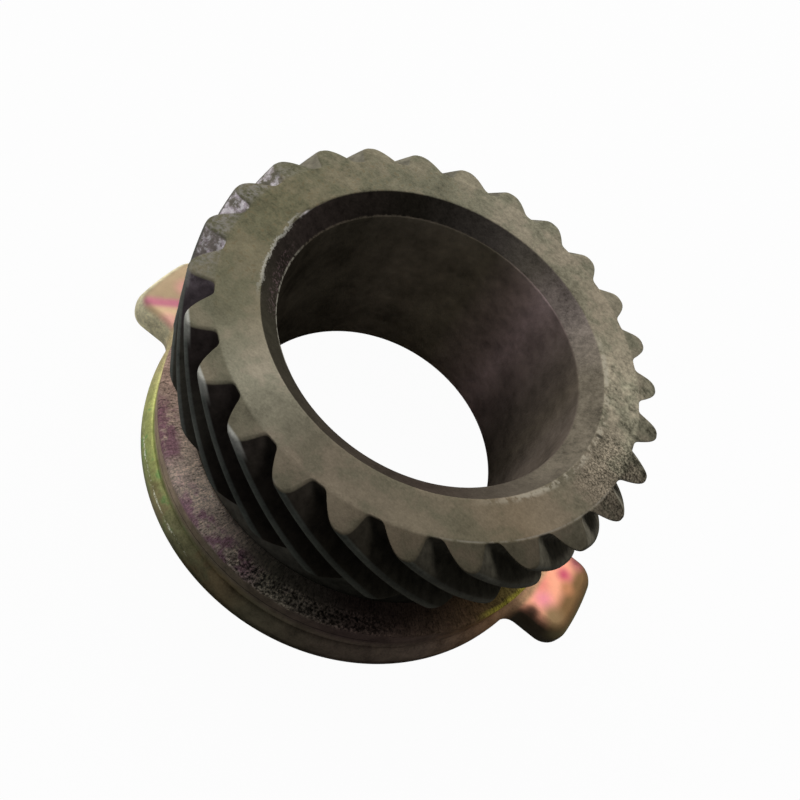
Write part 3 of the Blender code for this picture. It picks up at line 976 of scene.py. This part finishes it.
        # The pale edge below the top is a painted reflection.
        return self.mix(self.rise(self.z, 2.7, 3.25), self.shade(LEFT_LUG_EDGE_REFLECTION, self.tone), top)

    def right_lug(self):
        """The right lug: orange to brown with red stains on top, and a dark edge of painted shade."""
        top = self.mix(self.rise(self.x, 26.3, 28.0), RIGHT_LUG_ORANGE, RIGHT_LUG_BROWN)
        top = self.stained(top, RIGHT_LUG_STAINS)
        # Painted shade on the lug's sides, darkest near the drum and low down.
        edge = self.mix(self.rise(self.x, 27.0, 28.8), RIGHT_EDGE_SHADE_NEAR, RIGHT_EDGE_SHADE_FAR)
        edge = self.mix(self.rise(self.z, 2.4, 1.2), edge, RIGHT_EDGE_SHADE_LOW)
        return self.mix(self.rise(self.z + 0.4 * (self.patches - 0.5), 2.5, 3.27), edge, top)


# The studio

WHITE = (1.0, 1.0, 1.0)
WHITE_SHARE = 0.97
FLOOR_REACH = 3.0
FLOOR_GREY = (0.45, 0.45, 0.45)
AIR_COLOUR, AIR_STRENGTH = (0.95, 0.97, 1.0), 0.08
LAMP_AIM = (0.0, 0.0, 0.012)


def white_floor():
    """A wide floor. The eye sees it nearly white, with only a trace of the shadow on it."""
    data = bpy.data.meshes.new("studio_floor")
    corners = [(-1, -1), (1, -1), (1, 1), (-1, 1)]
    data.from_pydata([(FLOOR_REACH * x, FLOOR_REACH * y, 0.0) for x, y in corners], [], [(0, 1, 2, 3)])
    floor = bpy.data.objects.new("studio_floor", data)
    bpy.context.scene.collection.objects.link(floor)
    finish = Finish(bpy.data.materials.new("studio_white"))
    finish.set(Base_Color=FLOOR_GREY, Roughness=0.9, Specular_IOR_Level=0.0)
    finish.show_white(WHITE_SHARE, finish.node("ShaderNodeEmission", {}, {"Color": WHITE, "Strength": 1.0}))
    data.materials.append(finish.owner)


def studio_air():
    """A faint light from all round. The eye sees white in its place."""
    world = bpy.data.worlds.new("studio_air")
    air = Finish(world, "Background")
    air.set(Color=AIR_COLOUR, Strength=AIR_STRENGTH)
    air.show_white(1.0, air.node("ShaderNodeBackground", {}, {"Color": WHITE, "Strength": WHITE_SHARE}))
    bpy.context.scene.world = world


def soft_lamp(name, direction, distance, size, power, colour):
    data = bpy.data.lights.new(name, "AREA")
    data.shape = "RECTANGLE"
    data.size, data.size_y = size
    data.energy = power
    data.color = colour
    lamp = bpy.data.objects.new(name, data)
    toward = Vector(direction).normalized()
    lamp.location = Vector(LAMP_AIM) + distance * toward
    lamp.rotation_euler = toward.to_track_quat("Z", "Y").to_euler()
    bpy.context.scene.collection.objects.link(lamp)


def camera():
    """The eye stands where the photo puts it, and looks with the photo's tilt and field of view."""
    level = Matrix.Rotation(VIEW_AZIMUTH, 3, "Z")
    cos_el, sin_el = math.cos(VIEW_ELEVATION), math.sin(VIEW_ELEVATION)
    back = level @ Vector((0.0, -cos_el, sin_el))
    side = level @ Vector((1.0, 0.0, 0.0))
    above = back.cross(side)
    right = math.cos(VIEW_ROLL) * side + math.sin(VIEW_ROLL) * above
    up = -math.sin(VIEW_ROLL) * side + math.cos(VIEW_ROLL) * above
    middle = 0.5 * PICTURE_SIZE
    ray = Vector(
        ((FACE_CENTRE_PIXEL[0] - middle) / FOCAL_PIXELS, (middle - FACE_CENTRE_PIXEL[1]) / FOCAL_PIXELS, -1.0)
    )
    off_axis = Vector((0.0, 0.0, -1.0)).rotation_difference(ray).to_matrix()
    axes = off_axis @ Matrix((right, up, back))
    data = bpy.data.cameras.new("eye")
    data.sensor_width = SENSOR
    data.lens = SENSOR * FOCAL_PIXELS / PICTURE_SIZE
    data.clip_start = 0.005
    eye = bpy.data.objects.new("eye", data)
    place = MILLIMETRE * (Vector((0.0, 0.0, FACE_HEIGHT)) + VIEW_DISTANCE * back)
    eye.matrix_world = Matrix.Translation(place) @ axes.transposed().to_4x4()
    bpy.context.scene.collection.objects.link(eye)
    bpy.context.scene.camera = eye


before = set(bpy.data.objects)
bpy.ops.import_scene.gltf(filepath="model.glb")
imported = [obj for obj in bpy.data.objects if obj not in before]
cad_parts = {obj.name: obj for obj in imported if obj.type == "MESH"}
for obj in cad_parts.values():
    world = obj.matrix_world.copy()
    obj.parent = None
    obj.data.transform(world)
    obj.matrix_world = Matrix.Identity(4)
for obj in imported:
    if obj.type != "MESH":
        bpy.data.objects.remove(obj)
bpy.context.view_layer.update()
bpy.context.scene.view_settings.view_transform = "Standard"

gear = gear_skin().piece("gear_body", GearSteel())
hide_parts("helical_gear")
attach(gear, "root")

flange = flange_skin().piece("flange_body", FlangePlating())
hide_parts("lugged_flange")
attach(flange, "root")

white_floor()
studio_air()
soft_lamp("lamp_back_left", (-0.62, 0.45, 0.64), 0.55, (0.45, 0.45), 2.8, (1.0, 0.99, 0.97))
soft_lamp("lamp_above", (0.25, 0.5, 0.83), 0.6, (0.4, 0.3), 1.6, WHITE)
camera()
